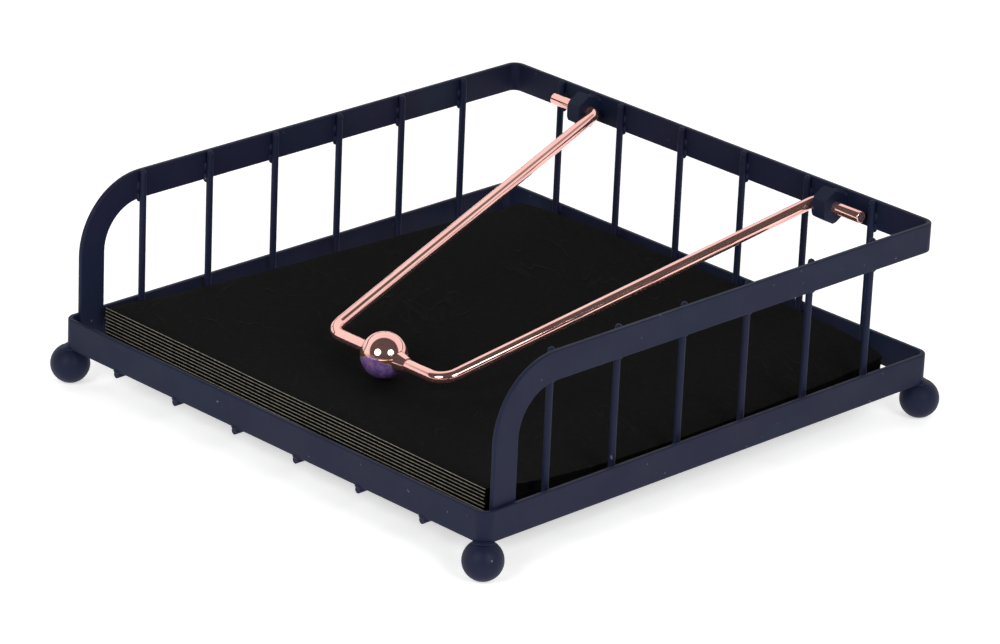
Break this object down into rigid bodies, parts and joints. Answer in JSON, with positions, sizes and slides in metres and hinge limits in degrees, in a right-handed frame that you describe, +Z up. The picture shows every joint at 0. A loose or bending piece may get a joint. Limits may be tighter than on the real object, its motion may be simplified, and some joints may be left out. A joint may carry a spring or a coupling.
{
  "type": "flat napkin holder",
  "caption": "Square strip-and-wire tray on ball feet that holds a flat stack of folded napkins under a hinged, ball-weighted arm.",
  "frame": {"origin": "on the table plane, under the middle of the tray", "axes": "+X to the right as seen from the open front, +Y towards the back where the arm is hinged, +Z up"},
  "size_m": [0.1992, 0.2022, 0.066],
  "materials": {
    "powder_coat": "fine satin powder coat, dark slate navy",
    "rose_gold_plate": "polished rose-gold plating",
    "napkin_paper": "matte soft tissue paper, black"
  },
  "bodies": {
    "tray": {"base_ring": "powder_coat", "top_rail": "powder_coat", "long_wire_1": "powder_coat", "long_wire_2": "powder_coat", "long_wire_3": "powder_coat", "long_wire_4": "powder_coat", "long_wire_5": "powder_coat", "long_wire_6": "powder_coat", "cross_wire_1": "powder_coat", "cross_wire_2": "powder_coat", "cross_wire_3": "powder_coat", "cross_wire_4": "powder_coat", "cross_wire_5": "powder_coat", "cross_wire_6": "powder_coat", "foot_front_left": "powder_coat", "foot_front_right": "powder_coat", "foot_back_left": "powder_coat", "foot_back_right": "powder_coat", "hinge_nut_left": "powder_coat", "hinge_nut_right": "powder_coat", "napkin_1": "napkin_paper", "napkin_2": "napkin_paper", "napkin_3": "napkin_paper", "napkin_4": "napkin_paper", "napkin_5": "napkin_paper", "napkin_6": "napkin_paper", "napkin_7": "napkin_paper", "napkin_8": "napkin_paper", "napkin_9": "napkin_paper"},
    "arm": {"arm_rod": "rose_gold_plate", "weight_ball": "rose_gold_plate", "ball_collar": "rose_gold_plate"}
  },
  "joints": [
    {"name": "arm_hinge", "type": "hinge", "parent": "tray", "child": "arm", "pos_m": [0, 0.0899, 0.06025], "axis": [-1, 0, 0], "range_deg": [0, 130]}
  ]
}
